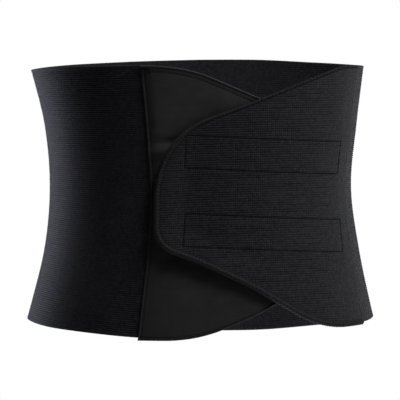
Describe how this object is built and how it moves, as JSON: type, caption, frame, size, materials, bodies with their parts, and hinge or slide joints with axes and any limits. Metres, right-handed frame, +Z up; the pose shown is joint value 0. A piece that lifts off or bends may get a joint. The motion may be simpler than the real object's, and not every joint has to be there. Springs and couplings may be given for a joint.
{
  "type": "kidney belt",
  "caption": "Wrap-round ribbed elastic kidney belt in the hourglass form of a waist, closed by a tapered flap over a smooth loop panel at the front.",
  "frame": {"origin": "on the torso's axis at the height of the waist, the narrowest part of the belt", "axes": "+Z up, +X to the right seen from the front, and the front closure faces -Y"},
  "size_m": [0.2873, 0.209, 0.2311],
  "materials": {
    "ribbed_elastic": "ribbed woven elastic with a faint sheen",
    "loop_cloth": "matte brushed loop cloth",
    "edge_thread": "overlocked thread",
    "hook_tape": "dense hook tape"
  },
  "bodies": {
    "root": {"elastic_body": "ribbed_elastic", "loop_panel": "loop_cloth", "panel_top_edging": "edge_thread", "panel_bottom_edging": "edge_thread", "front_flap": "ribbed_elastic", "flap_edging": "edge_thread", "hook_strip_upper": "hook_tape", "hook_strip_lower": "hook_tape"}
  },
  "joints": []
}
